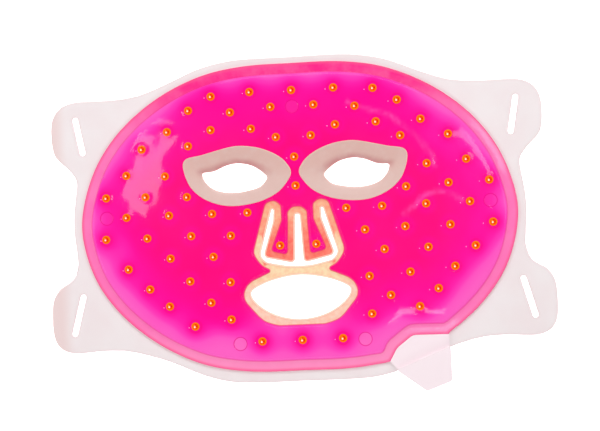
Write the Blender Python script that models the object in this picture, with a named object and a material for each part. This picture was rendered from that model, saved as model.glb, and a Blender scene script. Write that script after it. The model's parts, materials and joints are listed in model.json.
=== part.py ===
"""A flexible LED face mask, lying flat with its outer face down and its lit side up.

Metres, +Z up. +X is the wearer's right, +Y points to the forehead and +Z to the face. The origin
is on the outer face at the nose bridge. Driving sizes are in millimetres, and places in the plane
are measured from the middle of the light window, which lies BRIDGE_Y below the origin.
"""

import math

import bmesh
import bpy
from mathutils import Vector
from mathutils.geometry import delaunay_2d_cdt

MM = 0.001
BRIDGE_Y = 25.0
CDT_MERGE = 1e-4
ARC_STEP = 24  # degrees of arc to one flat side
STRAIGHT = 0.01  # a corner that turns by less, in radians, stays as it is
MITRE_LIMIT = 0.5
CURVE_STEPS, FINE_STEPS, END_STEPS = 2, 3, 4
GAP = 0.3
CUT_PAST = 1.0  # how far a cut runs past what it opens

# Heights of the layers, from the outer face up: (bottom, top).
SHELL = (0.0, 1.6)
FLEX = (1.95, 2.15)
REFLECTOR = (2.45, 2.6)
TAPE = (2.9, 3.1)
LED = (2.9, 4.1)
STUD = (1.9, 4.1)
SKIN_BASE, FLANGE_TOP, HOLLOW_TOP, SKIN_TOP = 1.9, 2.9, 4.4, 5.4
TUNNEL_TOP = 2.45

# Widths across the plane.
FLANGE_WIDE = 6.7
WALL = 1.2
LAYER_CLEAR = 0.5
LED_SIDE = 5.0
TAPE_WIDE = 2.0
STUD_ROUND = 8.5
STUD_SIDES = 16
STUD_CHAMFER = 0.4
TAIL_WIDE = 6.0
NECK = (6.3, 10.2)  # each nose flap's neck, from its inner edge to its outer edge
NECK_MARGIN = 0.6  # from the neck's edges to its leads
NECK_RUN = 4.0  # how far the leads run on past the raised wall
POCKET_CLEAR = 0.4

# Hinge lines. The wings bend along x = +-WING_X; the ears bend along lines across the shell.
WING_X = 103.8
EAR_UPPER_LINE = ((118.0, 79.0), (141.9, 22.0))
EAR_LOWER_LINE = ((145.0, -32.0), (118.0, -83.1))
FLAP_Y = -4.0

# Half outlines, from the top of the middle line round +X to its foot.
SHELL_HALF = [
    (0, 100.7), (30, 100.8), (46.3, 99.2), (62.4, 95.3), (81.4, 87.5), (100.3, 80.8), (120, 78.8),
    (140, 78.9), (151.1, 75.8), (157, 68.2), (158.3, 57), (156.6, 45), (151, 38.4), (145.2, 32),
    (142.7, 25), (145.2, 8), (145.6, -8), (144.2, -27), (148.2, -36.7), (156, -41.7), (161.2, -49.2),
    (162.5, -61), (161.7, -73.2), (157.5, -80.6), (148.2, -84.2), (132, -83.4), (116, -83.8),
    (100.8, -87.3), (85.6, -92.4), (70.5, -99.2), (56.8, -104.2), (42, -107), (20, -107.6), (0, -107.5),
]
WINDOW_HALF = [
    (0, 96.4), (32, 95.8), (60.3, 90.5), (88.4, 77.6), (112.3, 58.8), (129.5, 35.2), (138.9, 8),
    (139.2, -14), (131.2, -39.4), (115.2, -61.8), (92.6, -80.5), (64.4, -94.3), (34, -100), (0, -100.5),
]
MOUTH_HALF = [(0, -39.6), (14, -41.4), (26, -45.4), (32, -50.2), (27, -58), (15, -65), (0, -67.7)]
# Corners are (x, y) or (x, y, radius).
NOSE_HALF = [
    (0, -0.6, 1), (1.4, -0.6, 1), (1.4, FLAP_Y), (15.6, FLAP_Y), (15.2, 3, 0.6), (16.5, 3.2, 0.6),
    (25, -26, 4), (21.5, -30.6, 5), (8, -33.4, 20), (0, -33.7),
]
SURROUND_HALF = [
    (0, 4.4), (3.2, 4.1, 2), (NECK[0], 1.2, 1), (NECK[0], FLAP_Y), (NECK[1], FLAP_Y), (NECK[1], 6, 3),
    (14.5, 9, 4), (20.3, 7.5, 4), (29.8, -25, 7), (24, -33, 6), (17.6, -36.3, 1.2), (33, -43, 8),
    (38.8, -52, 9), (24.5, -69, 16), (0, -75, 60),
]
SURROUND_WALL_HALF = [
    (0, 9.5), (14, 11.2, 6), (22.5, 9, 5), (33, -25, 9), (31, -36, 4), (38.5, -44.5, 6),
    (41.5, -52, 9), (26.5, -71.6, 16), (0, -78.4, 60),
]
EYE_RING = [
    (3.2, 25), (4.8, 30.8), (8.8, 35.4), (15.5, 39.6), (25, 43), (37, 44.3), (48.5, 42.3), (60, 39.5),
    (67, 38.4), (70.9, 36.4), (71.4, 31), (67.5, 20.2), (59.1, 12.2), (47, 7.5), (35, 7), (22, 9.4),
    (10.6, 15.2),
]
EYE_OPENING = [
    (18.2, 23.6), (20, 26.4), (22.2, 28.4), (26, 31), (31, 33), (38, 33.9), (45, 32.6), (51.5, 29.9),
    (56, 29), (59.8, 28.8), (60.2, 26.5), (58.2, 22.2), (53.5, 17.9), (46.5, 15.5), (38, 14.9),
    (29.5, 16.1), (22.6, 18.3),
]
# The eye rim's section, from the opening (share 0) to the ring (share 1): (share, height).
EYE_SECTION = [
    (0, 1.9), (0, 2.7), (0.12, 3.1), (0.5, 4.3), (0.92, 5.4), (1, 5.2), (1, 4.2), (0.5, 3.1), (0.2, 1.9),
]
FLAP_CORNERS = [
    (1.6, FLAP_Y - GAP), (15.8, FLAP_Y - GAP), (23.3, -27.4, 3), (2.8, -32, 2.5),
]
FLAP_WINDOW = [
    (NECK[0], FLAP_Y - GAP), (NECK[1], FLAP_Y - GAP), (17.9, -23.5, 2), (7.4, -26.3, 2),
]
NOTCH = [
    (53, -100), (59.5, -88.5, 6), (70, -80.6, 6), (112, -81.2), (112, -125), (60, -125),
]
# Strap slots: centre, length, width and lean in degrees from +Y towards +X.
SLOT_UPPER = ((140.0, 56.3), 25.5, 3.5, 10.4)
SLOT_LOWER = ((144.8, -59.7), 28.0, 3.5, 164.6)

# The LEDs, strip by strip. Half strips run outwards from the middle line.
FOREHEAD_UPPER = [(0, 78.7), (13.8, 68.7), (26.9, 78.9), (40, 66.5), (52, 77.3), (67, 69)]
FOREHEAD_LOWER = [(11.2, 49.2), (27, 55.3), (53, 55.8), (68.1, 46.2), (81.4, 56), (98.3, 45.6), (84, 27.6)]
BRIDGE = [(0, 36.1), (0, 17.6)]
CHIN = [(-25.8, -80.9), (0, -81), (25.8, -80.9)]
CHEEK_UPPER = [(31.7, 1.8), (54.5, 2), (70.3, 13.6), (82.4, 2.2), (97.2, 14.8)]
CHEEK_LOWER = [(43, -12.5), (54.8, -25.5), (68.6, -11.6), (82.6, -25.4), (97.1, -11.8)]
WING_ZIGZAG = [(109, 29.2), (122.8, 15.3), (110.1, 2.2), (124, -11.4)]
# The jaw rows rise on the right, where the socket takes their place.
JAW_UPPER = {
    "right": [(44.5, -42.2), (57.5, -54.8), (70.5, -40.6), (87.8, -51.8), (98.9, -38.2)],
    "left": [(44.5, -42.2), (57.5, -54.8), (70.5, -40.6), (84.4, -56.1), (96.7, -44.6)],
}
JAW_LOWER = {"right": [(45, -66.1), (75.5, -62.7)], "left": [(45, -66.1), (68.5, -69.6)]}
WING_FOOT = {"right": (112.4, -25.7), "left": (110.2, -31.2)}
FLAP_LED = (11.6, -20.2)
FLAP_LEAD_X = 9.0
FLAP_LED_TOP = 3.35
FLAP_POCKET_TOP = 3.7
STUDS = {
    "forehead": (0, 68.2), "chin_right": (40, -82), "chin_left": (-40, -82),
    "wing_right": (123, 2.2), "wing_left": (-123, 2.2),
}

# The socket boot. Along the boot, places are (depth in from the end face, offset to +X).
BOOT = [(58.6, -102.5, 1), (77.5, -116.6, 1.5), (93.7, -110.7, 1.5), (93.7, -88.5, 1.5)]
# The boot's foot fills the notch within these bounds.
FOOT_BOUNDS = [(59.6, -102.4), (54.4, -96.8), (54.4, -78), (93, -78), (93, -90)]
BOOT_END = Vector((85.6, -113.65))
BOOT_OUT = Vector((0.342, -0.94)).normalized()
BOOT_Z = (0.0, 5.4)
SOCKET_MID = 2.75
CAVITY_HALF_HIGH = 1.9
CAVITY = (1.2, 16.2, 6.2)  # start depth, end depth, half width
MOUTH_HALF_WIDE = 4.85
TAIL = (10.0, 46.0)  # the flex circuit's tail, by depth
SOCKET_CAN = (0.3, 7.8, 4.5, 1.6)  # start, end, half width, half height
CAN_WALL = 0.3
TONGUE = (1.2, 5.7, 3.3, 0.35)
TONGUE_BASE = (5.6, 7.4, 3.4, 0.95)
CONTACT_COUNT = 6
CONTACT_PITCH = 1.0
CONTACT_WIDE = 0.5
CONTACT = (1.6, 5.2)
CONTACT_TIE = 0.6
CONTACT_RISE = (0.5, 0.65)
BOARD = (8.1, 15.6, 5.4)
BOARD_Z = (2.45, 3.05)
CHIP = (9.2, 12.2, -3.8, -0.8)
CHIP_Z = (3.35, 4.2)
COIL = (9.0, 13.0, 0.7, 4.4)
COIL_Z = (3.35, 4.4)

FAR = 300.0
SIDES = (("right", 1), ("left", -1))
BODIES = {}


def pair(point):
    return Vector(point[:2])


def curve(points, steps):
    """A smooth closed curve through the points."""
    ring = [pair(p) for p in points]
    made = []
    for i, b in enumerate(ring):
        a, c, d = ring[i - 1], ring[(i + 1) % len(ring)], ring[(i + 2) % len(ring)]
        for k in range(steps):
            t = k / steps
            made.append(0.5 * (2 * b + (c - a) * t + (2 * a - 5 * b + 4 * c - d) * t**2
                               + (3 * b - a - 3 * c + d) * t**3))
    return made


def rounded(corners):
    """A closed polygon whose corners (x, y, radius) are turned into arcs."""
    made = []
    for i, corner in enumerate(corners):
        here = pair(corner)
        back = (pair(corners[i - 1]) - here).normalized()
        ahead = (pair(corners[(i + 1) % len(corners)]) - here).normalized()
        angle = back.angle(ahead)
        if len(corner) < 3 or math.pi - angle < STRAIGHT:
            made.append(here)
            continue
        radius = corner[2]
        middle = here + (back + ahead).normalized() * radius / math.sin(angle / 2)
        start = here + back * radius / math.tan(angle / 2) - middle
        end = here + ahead * radius / math.tan(angle / 2) - middle
        turn = math.atan2(start.x * end.y - start.y * end.x, start.dot(end))
        steps = max(1, round(abs(math.degrees(turn)) / ARC_STEP))
        for k in range(steps + 1):
            a = turn * k / steps
            made.append(middle + Vector((start.x * math.cos(a) - start.y * math.sin(a),
                                         start.x * math.sin(a) + start.y * math.cos(a))))
    return made


def whole(half):
    """A half outline, followed by its mirror image."""
    mirror = [(-p[0], *p[1:]) for p in reversed(half) if p[0] != 0]
    return half + mirror


def sided(points, side):
    """The points on +X for side 1, or mirrored for side -1."""
    return [(p[0] * side, *p[1:]) for p in points]


def anticlockwise(loop):
    area = sum(a.x * b.y - b.x * a.y for a, b in zip(loop, loop[1:] + loop[:1]))
    return loop if area > 0 else loop[::-1]


def grown(loop, by):
    """The loop moved outwards, or inwards where the distance is negative."""
    loop = anticlockwise(loop)
    moved = []
    for before, here, after in zip(loop[-1:] + loop[:-1], loop, loop[1:] + loop[:1]):
        into, away = (here - before).normalized(), (after - here).normalized()
        along = (into + away).normalized()
        moved.append(here + Vector((along.y, -along.x)) * by / max(MITRE_LIMIT, along.dot(into)))
    return moved


def box(low_x, high_x, low_y, high_y):
    return [Vector(p) for p in ((low_x, low_y), (high_x, low_y), (high_x, high_y), (low_x, high_y))]


def bar(start, end, wide):
    """A rectangle round the line from start to end."""
    start, end = pair(start), pair(end)
    along = (end - start).normalized()
    side = Vector((-along.y, along.x)) * wide / 2
    return [start - side, end - side, end + side, start + side]


def disc(centre, across, sides=STUD_SIDES):
    turns = [2 * math.pi * k / sides for k in range(sides)]
    return [pair(centre) + Vector((math.cos(a), math.sin(a))) * across / 2 for a in turns]


def slot(centre, length, wide, lean):
    """A slot with round ends, leaning by an angle from +Y towards +X."""
    radius, reach = wide / 2, (length - wide) / 2
    along = Vector((math.sin(math.radians(lean)), math.cos(math.radians(lean))))
    across = Vector((along.y, -along.x))
    made = []
    for end in (1, -1):
        for k in range(END_STEPS + 1):
            a = math.pi * k / END_STEPS
            made.append(pair(centre) + end * (along * (reach + radius * math.sin(a))
                                              + across * radius * math.cos(a)))
    return made


def beyond(line, gap):
    """The half plane on the outer side of a hinge line, as a large quadrilateral."""
    start, end = (pair(p) for p in line)
    along = (end - start).normalized()
    out = Vector((-along.y, along.x))
    out = out if out.x > 0 else -out
    near = start + out * gap
    return [near - along * FAR, near + along * FAR, near + along * FAR + out * FAR,
            near - along * FAR + out * FAR]


def mirror_loop(loop, side):
    return [Vector((p.x * side, p.y)) for p in loop]


def boot_place(depth, offset):
    """The place at a depth in from the boot's end face, off its middle line."""
    side = Vector((-BOOT_OUT.y, BOOT_OUT.x))
    return BOOT_END - BOOT_OUT * depth + side * offset


def boot_box(start, end, low, high):
    return [boot_place(*p) for p in ((start, low), (start, high), (end, high), (end, low))]


def add_object(name, mesh, body, colour, roughness, metallic=0.0):
    """Puts a mesh in the scene under its body's hinge, with its own material."""
    mesh.shade_smooth()
    mesh.set_sharp_from_angle(angle=math.radians(30))
    made = bpy.data.materials.new(name)
    made.use_nodes = True
    shader = made.node_tree.nodes["Principled BSDF"]
    shader.inputs["Base Color"].default_value = (*colour, 1)
    shader.inputs["Roughness"].default_value = roughness
    shader.inputs["Metallic"].default_value = metallic
    mesh.materials.append(made)
    obj = bpy.data.objects.new(name, mesh)
    bpy.context.scene.collection.objects.link(obj)
    if body in BODIES:
        obj.parent = BODIES[body]
        obj.matrix_parent_inverse = BODIES[body].matrix_world.inverted()
    return obj


def world(x, y, z):
    return (x * MM, (y - BRIDGE_Y) * MM, z * MM)


def closed_mesh(name, bm):
    bmesh.ops.recalc_face_normals(bm, faces=bm.faces)
    mesh = bpy.data.meshes.new(name)
    bm.to_mesh(mesh)
    bm.free()
    return mesh


def filled_at(owners, height, steps):
    """Whether a cell is solid at a height, after every fill and cut in turn."""
    solid = False
    for fills, low, high, mine, limits in steps:
        if low < height < high and not mine.isdisjoint(owners) and limits.issubset(owners):
            solid = fills
    return solid


def layered_mesh(name, steps):
    """A closed mesh from flat outlines.

    Each step is (fills, bottom, top, outlines), and may end with an outline that it stays within.
    """
    points, faces, numbered = [], [], []
    for fills, low, high, loops, *limits in steps:
        first = len(faces)
        for loop in loops + limits:
            faces.append(list(range(len(points), len(points) + len(loop))))
            points += anticlockwise(loop)
        last = first + len(loops)
        numbered.append((fills, low, high, set(range(first, last)), set(range(last, len(faces)))))
    flat, _, cells, _, _, owners = delaunay_2d_cdt(points, [], faces, 1, CDT_MERGE)
    levels = sorted({z for _, low, high, *_ in steps for z in (low, high)})
    middles = [(a + b) / 2 for a, b in zip(levels, levels[1:])]
    solid = [[False, *(filled_at(own, z, numbered) for z in middles), False] for own in owners]
    beside = {(a, b): i for i, cell in enumerate(cells) for a, b in zip(cell, cell[1:] + cell[:1])}
    bm, corners = bmesh.new(), {}

    def corner(point, level):
        if (point, level) not in corners:
            corners[point, level] = bm.verts.new(world(*flat[point], levels[level]))
        return corners[point, level]

    for i, cell in enumerate(cells):
        for level in range(len(levels)):
            if solid[i][level] != solid[i][level + 1]:
                bm.faces.new([corner(p, level) for p in cell])
        for a, b in zip(cell, cell[1:] + cell[:1]):
            other = solid[beside[b, a]] if (b, a) in beside else [False] * (len(levels) + 1)
            for level in range(len(levels) - 1):
                if solid[i][level + 1] and not other[level + 1]:
                    bm.faces.new([corner(a, level), corner(b, level), corner(b, level + 1),
                                  corner(a, level + 1)])
    return closed_mesh(name, bm)


def ring_mesh(name, rings):
    """A closed tube: each ring of points is joined to the next, and the last to the first."""
    bm = bmesh.new()
    made = [[bm.verts.new(p) for p in ring] for ring in rings]
    for ring, following in zip(made, made[1:] + made[:1]):
        for k in range(len(ring)):
            j = (k + 1) % len(ring)
            bm.faces.new([ring[k], ring[j], following[j], following[k]])
    return closed_mesh(name, bm)


SHELL_LOOP = curve(whole(SHELL_HALF), CURVE_STEPS)
WINDOW_LOOP = curve(whole(WINDOW_HALF), FINE_STEPS)
RAISED_LOOP = grown(WINDOW_LOOP, -FLANGE_WIDE)
HOLLOW_LOOP = grown(WINDOW_LOOP, -FLANGE_WIDE - WALL)
LAYER_LOOP = grown(WINDOW_LOOP, -FLANGE_WIDE - WALL - LAYER_CLEAR)
MOUTH_LOOP = curve(whole(MOUTH_HALF), FINE_STEPS)
NOSE_LOOP = rounded(whole(NOSE_HALF))
SURROUND_LOOP = rounded(whole(SURROUND_HALF))
SURROUND_WALL = rounded(whole(SURROUND_WALL_HALF))
NOTCH_LOOP = rounded(NOTCH)
BOOT_LOOP = rounded(BOOT)
MIDDLE_CUTS = [box(WING_X - GAP, FAR, -FAR, FAR), box(-FAR, GAP - WING_X, -FAR, FAR)]
EYE_RINGS = [curve(sided(EYE_RING, side), CURVE_STEPS) for _, side in SIDES]
EYE_OPENINGS = [curve(sided(EYE_OPENING, side), CURVE_STEPS) for _, side in SIDES]


def tail_loop(clear, start, end):
    """The way of the circuit's tail, widened by a clearance."""
    half = TAIL_WIDE / 2 + clear
    return boot_box(start, end, -half, half)


TAIL_TUNNEL = tail_loop(POCKET_CLEAR, CAVITY[1] - CUT_PAST, TAIL[1] + CUT_PAST)


def neck_strip(side, clear, foot):
    """The way for the leads through a nose flap's neck."""
    margin = NECK_MARGIN - clear
    edges = sorted((side * (NECK[0] + margin), side * (NECK[1] - margin)))
    return box(*edges, foot, SURROUND_WALL_HALF[0][1] + NECK_RUN)


def hinge(name, x, y, z, lean, parent=None):
    """An empty on a body's hinge, with its X axis along the hinge line."""
    empty = bpy.data.objects.new(f"hinge_{name}", None)
    empty.empty_display_size = 0.01
    bpy.context.scene.collection.objects.link(empty)
    empty.location = world(x, y, z)
    empty.rotation_euler = (0, 0, lean)
    bpy.context.view_layer.update()
    if parent:
        empty.parent = BODIES[parent]
        empty.matrix_parent_inverse = BODIES[parent].matrix_world.inverted()
        bpy.context.view_layer.update()
    BODIES[name] = empty


def line_hinge(name, line, side, z, parent):
    start, end = (pair(p) for p in sided(line, side))
    middle, along = (start + end) / 2, end - start
    hinge(name, middle.x, middle.y, z, math.atan2(along.y, along.x), parent)


def add_hinges():
    for hand, side in SIDES:
        wing = f"wing_{hand}"
        hinge(wing, side * WING_X, 0, SKIN_TOP, math.pi / 2)
        line_hinge(f"ear_upper_{hand}", EAR_UPPER_LINE, side, SHELL[1], wing)
        line_hinge(f"ear_lower_{hand}", EAR_LOWER_LINE, side, SHELL[1], wing)
        hinge(f"nose_flap_{hand}", side * sum(NECK) / 2, FLAP_Y, SHELL[0], 0)


def add_shell(name, body, steps):
    add_object(name, layered_mesh(name, steps), body, (0.87, 0.83, 0.83), 0.55)


def add_shells():
    """The white outer moulding: its middle, its wings and the ears that carry the straps."""
    steps = [
        (True, *SHELL, [SHELL_LOOP]),
        (False, *SHELL, [*MIDDLE_CUTS, *EYE_OPENINGS, MOUTH_LOOP, NOSE_LOOP, grown(BOOT_LOOP, GAP)]),
    ]
    add_shell("shell_middle", "middle", steps)
    for hand, side in SIDES:
        ears = [mirror_loop(beyond(line, -GAP), side) for line in (EAR_UPPER_LINE, EAR_LOWER_LINE)]
        inner = mirror_loop(box(-FAR, WING_X + GAP, -FAR, FAR), side)
        steps = [(True, *SHELL, [SHELL_LOOP]), (False, *SHELL, [inner, *ears])]
        add_shell(f"shell_wing_{hand}", f"wing_{hand}", steps)
        add_ear(f"ear_upper_{hand}", EAR_UPPER_LINE, SLOT_UPPER, side)
        add_ear(f"ear_lower_{hand}", EAR_LOWER_LINE, SLOT_LOWER, side)
        add_shell(f"flap_shell_{hand}", f"nose_flap_{hand}",
                  [(True, *SHELL, [rounded(sided(FLAP_CORNERS, side))])])


def add_ear(name, line, opening, side):
    """An ear is what the shell has beyond its hinge line, less the strap slot."""
    near = beyond(line, GAP)
    back = [near[1], near[0], near[0] - (near[3] - near[0]), near[1] - (near[2] - near[1])]
    upper = line is EAR_UPPER_LINE
    other_half = box(-FAR, FAR, -FAR, 0) if upper else box(-FAR, FAR, 0, FAR)
    cuts = [mirror_loop(loop, side) for loop in (back, other_half, slot(*opening))]
    add_shell(name, name, [(True, *SHELL, [SHELL_LOOP]), (False, *SHELL, cuts)])


def skin_steps(outer_cuts):
    """The clear skin: a bonding flange, a raised window and a hollow for the circuit."""
    eye_walls = [grown(ring, GAP + WALL) for ring in EYE_RINGS]
    notch_wall = grown(NOTCH_LOOP, FLANGE_WIDE + WALL)
    necks = [neck_strip(side, POCKET_CLEAR, FLAP_Y - CUT_PAST) for _, side in SIDES]
    return [
        (True, SKIN_BASE, FLANGE_TOP, [WINDOW_LOOP]),
        (True, SKIN_BASE, SKIN_TOP, [RAISED_LOOP]),
        (False, SKIN_BASE, HOLLOW_TOP, [HOLLOW_LOOP]),
        (True, SKIN_BASE, HOLLOW_TOP, [*eye_walls, SURROUND_WALL, notch_wall], HOLLOW_LOOP),
        (False, FLANGE_TOP, SKIN_TOP, [SURROUND_LOOP, grown(NOTCH_LOOP, FLANGE_WIDE)]),
        (False, SKIN_BASE, TUNNEL_TOP, [*necks, TAIL_TUNNEL]),
        (False, SKIN_BASE, SKIN_TOP, [*(grown(ring, GAP) for ring in EYE_RINGS), MOUTH_LOOP,
                                      NOSE_LOOP, NOTCH_LOOP, *outer_cuts]),
    ]


def add_skins():
    look = ((0.95, 0.1, 0.4), 0.15)
    add_object("skin_middle", layered_mesh("skin_middle", skin_steps(MIDDLE_CUTS)), "middle", *look)
    for hand, side in SIDES:
        name = f"skin_wing_{hand}"
        steps = [
            (True, SKIN_BASE, FLANGE_TOP, [WINDOW_LOOP]),
            (True, SKIN_BASE, SKIN_TOP, [RAISED_LOOP]),
            (False, SKIN_BASE, HOLLOW_TOP, [HOLLOW_LOOP]),
            (False, SKIN_BASE, SKIN_TOP, [mirror_loop(box(-FAR, WING_X + GAP, -FAR, FAR), side)]),
        ]
        add_object(name, layered_mesh(name, steps), f"wing_{hand}", *look)
        add_flap_skin(hand, side, look)


def flap_lead(side, clear, short):
    """The lead from a flap's LED to its hinge, widened by a clearance and stopped short of the hinge."""
    x, half = side * FLAP_LEAD_X, TAPE_WIDE / 2 + clear
    return box(x - half, x + half, FLAP_LED[1], FLAP_Y - short)


def flap_package(side, clear):
    x, y, half = side * FLAP_LED[0], FLAP_LED[1], LED_SIDE / 2 + clear
    return box(x - half, x + half, y - half, y + half)


def add_flap_skin(hand, side, look):
    """A flap's skin is flat at its border, with a raised window over its one LED."""
    name = f"flap_skin_{hand}"
    flap = rounded(sided(FLAP_CORNERS, side))
    window = rounded(sided(FLAP_WINDOW, side))
    steps = [
        (True, SKIN_BASE, FLANGE_TOP, [flap]),
        (True, SKIN_BASE, SKIN_TOP, [window]),
        (False, SKIN_BASE, TUNNEL_TOP, [flap_lead(side, POCKET_CLEAR, 0)]),
        (False, SKIN_BASE, FLAP_POCKET_TOP, [flap_package(side, POCKET_CLEAR)]),
    ]
    add_object(name, layered_mesh(name, steps), f"nose_flap_{hand}", *look)


def layer_cuts():
    """What the circuit and the reflector leave free: eyes, nose, mouth, notch and studs."""
    clear = GAP + WALL + LAYER_CLEAR
    eyes = [grown(ring, clear) for ring in EYE_RINGS]
    holes = [disc(place, STUD_ROUND + 2 * GAP) for place in STUDS.values()]
    notch = grown(NOTCH_LOOP, FLANGE_WIDE + WALL + LAYER_CLEAR)
    return [*eyes, *holes, notch, grown(SURROUND_WALL, LAYER_CLEAR)]


def add_circuits():
    """The power circuit, with its tail to the socket and its leads to the nose flaps."""
    look = ((0.75, 0.35, 0.12), 0.4)
    leads = [neck_strip(side, 0, FLAP_Y + GAP) for _, side in SIDES]
    steps = [
        (True, *FLEX, [LAYER_LOOP]),
        (False, *FLEX, [*layer_cuts(), *MIDDLE_CUTS]),
        (True, *FLEX, [tail_loop(0, *TAIL), *leads]),
    ]
    add_object("flex_circuit_middle", layered_mesh("flex_circuit_middle", steps), "middle", *look)
    for hand, side in SIDES:
        name = f"flex_circuit_wing_{hand}"
        inner = mirror_loop(box(-FAR, WING_X + GAP, -FAR, FAR), side)
        steps = [(True, *FLEX, [LAYER_LOOP]), (False, *FLEX, [*layer_cuts(), inner])]
        add_object(name, layered_mesh(name, steps), f"wing_{hand}", *look)


def add_reflectors():
    look = ((0.9, 0.55, 0.7), 0.3)
    zones = [("middle", "middle", MIDDLE_CUTS)]
    for hand, side in SIDES:
        inner = mirror_loop(box(-FAR, WING_X + GAP, -FAR, FAR), side)
        zones.append((f"wing_{hand}", f"wing_{hand}", [inner]))
    for place, body, cuts in zones:
        name = f"reflector_{place}"
        steps = [(True, *REFLECTOR, [LAYER_LOOP]), (False, *REFLECTOR, [*layer_cuts(), *cuts])]
        add_object(name, layered_mesh(name, steps), body, *look)


def add_strip(name, body, places):
    """A run of LED packages on one narrow tape."""
    tape = [bar(a, b, TAPE_WIDE) for a, b in zip(places, places[1:])]
    half = LED_SIDE / 2
    leds = [box(x - half, x + half, y - half, y + half) for x, y in places]
    steps = [(True, *TAPE, tape), (True, *LED, leds)]
    add_object(name, layered_mesh(name, steps), body, (1.0, 0.45, 0.1), 0.3)


def add_strips():
    mirrored = [(-x, y) for x, y in FOREHEAD_UPPER[:0:-1]]
    add_strip("led_strip_forehead_upper", "middle", mirrored + FOREHEAD_UPPER)
    mirrored = [(-x, y) for x, y in FOREHEAD_LOWER[::-1]]
    add_strip("led_strip_forehead_lower", "middle", mirrored + FOREHEAD_LOWER)
    add_strip("led_strip_bridge", "middle", BRIDGE)
    add_strip("led_strip_chin", "middle", CHIN)
    for hand, side in SIDES:
        add_strip(f"led_strip_cheek_upper_{hand}", "middle", sided(CHEEK_UPPER, side))
        add_strip(f"led_strip_cheek_lower_{hand}", "middle", sided(CHEEK_LOWER, side))
        add_strip(f"led_strip_jaw_upper_{hand}", "middle", sided(JAW_UPPER[hand], side))
        add_strip(f"led_strip_jaw_lower_{hand}", "middle", sided(JAW_LOWER[hand], side))
        wing = sided([*WING_ZIGZAG, WING_FOOT[hand]], side)
        add_strip(f"led_strip_wing_{hand}", f"wing_{hand}", wing)
        add_flap_led(hand, side)


def add_flap_led(hand, side):
    """One LED at the end of its lead."""
    name = f"flap_led_{hand}"
    steps = [
        (True, *FLEX, [flap_lead(side, 0, 2 * GAP)]),
        (True, FLEX[0], FLAP_LED_TOP, [flap_package(side, 0)]),
    ]
    add_object(name, layered_mesh(name, steps), f"nose_flap_{hand}", (1.0, 0.45, 0.1), 0.3)


def add_eye_rims():
    """White funnels from the window's surface down to the eye openings."""
    for (hand, _), ring, opening in zip(SIDES, EYE_RINGS, EYE_OPENINGS):
        rings = []
        for share, height in EYE_SECTION:
            rings.append([world(*inner.lerp(outer, share), height) for inner, outer in zip(opening, ring)])
        name = f"eye_rim_{hand}"
        add_object(name, ring_mesh(name, rings), "middle", (0.82, 0.74, 0.72), 0.5)


def add_studs():
    """Round studs that hold the layers in register."""
    for place, centre in STUDS.items():
        name = f"locating_stud_{place}"
        body = place if place.startswith("wing") else "middle"
        top = STUD[1] - STUD_CHAMFER
        steps = [
            (True, STUD[0], top, [disc(centre, STUD_ROUND)]),
            (True, top, STUD[1], [disc(centre, STUD_ROUND - 2 * STUD_CHAMFER)]),
        ]
        add_object(name, layered_mesh(name, steps), body, (0.95, 0.7, 0.8), 0.5)


def add_boot():
    """The boot on the shell's edge, hollow for the socket, with a foot on the shell."""
    low, high = SOCKET_MID - CAVITY_HALF_HIGH, SOCKET_MID + CAVITY_HALF_HIGH
    start, end, half = CAVITY
    steps = [
        (True, SKIN_BASE, FLANGE_TOP, [grown(NOTCH_LOOP, -GAP)], rounded(FOOT_BOUNDS)),
        (True, *BOOT_Z, [BOOT_LOOP]),
        (False, low, high, [boot_box(start, end, -half, half)]),
        (False, low, high, [boot_box(-CUT_PAST, start + GAP, -MOUTH_HALF_WIDE, MOUTH_HALF_WIDE)]),
        (False, SKIN_BASE, TUNNEL_TOP, [TAIL_TUNNEL]),
    ]
    add_object("socket_boot", layered_mesh("socket_boot", steps), "middle", (0.88, 0.85, 0.85), 0.5)


def can_ring(depth, half_wide, half_high):
    """A flat-sided round-ended loop across the boot, as world points."""
    reach, made = half_wide - half_high, []
    for end in (1, -1):
        for k in range(END_STEPS + 1):
            a = math.pi * (k / END_STEPS - 0.5)
            offset = end * (reach + half_high * math.cos(a))
            made.append(world(*boot_place(depth, offset), SOCKET_MID + end * half_high * math.sin(a)))
    return made


def add_socket():
    """The power socket: can, tongue, two rows of contacts and a small board with its parts."""
    start, end, wide, high = SOCKET_CAN
    inner = (wide - CAN_WALL, high - CAN_WALL)
    rings = [can_ring(start, wide, high), can_ring(end, wide, high), can_ring(end, *inner),
             can_ring(start, *inner)]
    add_object("socket_can", ring_mesh("socket_can", rings), "middle", (0.7, 0.7, 0.72), 0.25, 1.0)
    steps = []
    for low, far, half, thick in (TONGUE, TONGUE_BASE):
        steps.append((True, SOCKET_MID - thick, SOCKET_MID + thick, [boot_box(low, far, -half, half)]))
    add_object("socket_tongue", layered_mesh("socket_tongue", steps), "middle", (0.03, 0.03, 0.03), 0.5)
    for row, way in (("upper", 1), ("lower", -1)):
        add_contacts(f"socket_contacts_{row}", way)
    board = [(True, *BOARD_Z, [boot_box(BOARD[0], BOARD[1], -BOARD[2], BOARD[2])])]
    add_object("socket_board", layered_mesh("socket_board", board), "middle", (0.02, 0.25, 0.1), 0.4)
    chip = [(True, *CHIP_Z, [boot_box(*CHIP)])]
    add_object("driver_chip", layered_mesh("driver_chip", chip), "middle", (0.02, 0.02, 0.02), 0.5)
    coil = [(True, *COIL_Z, [boot_box(*COIL)])]
    add_object("driver_coil", layered_mesh("driver_coil", coil), "middle", (0.1, 0.1, 0.1), 0.6)


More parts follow.
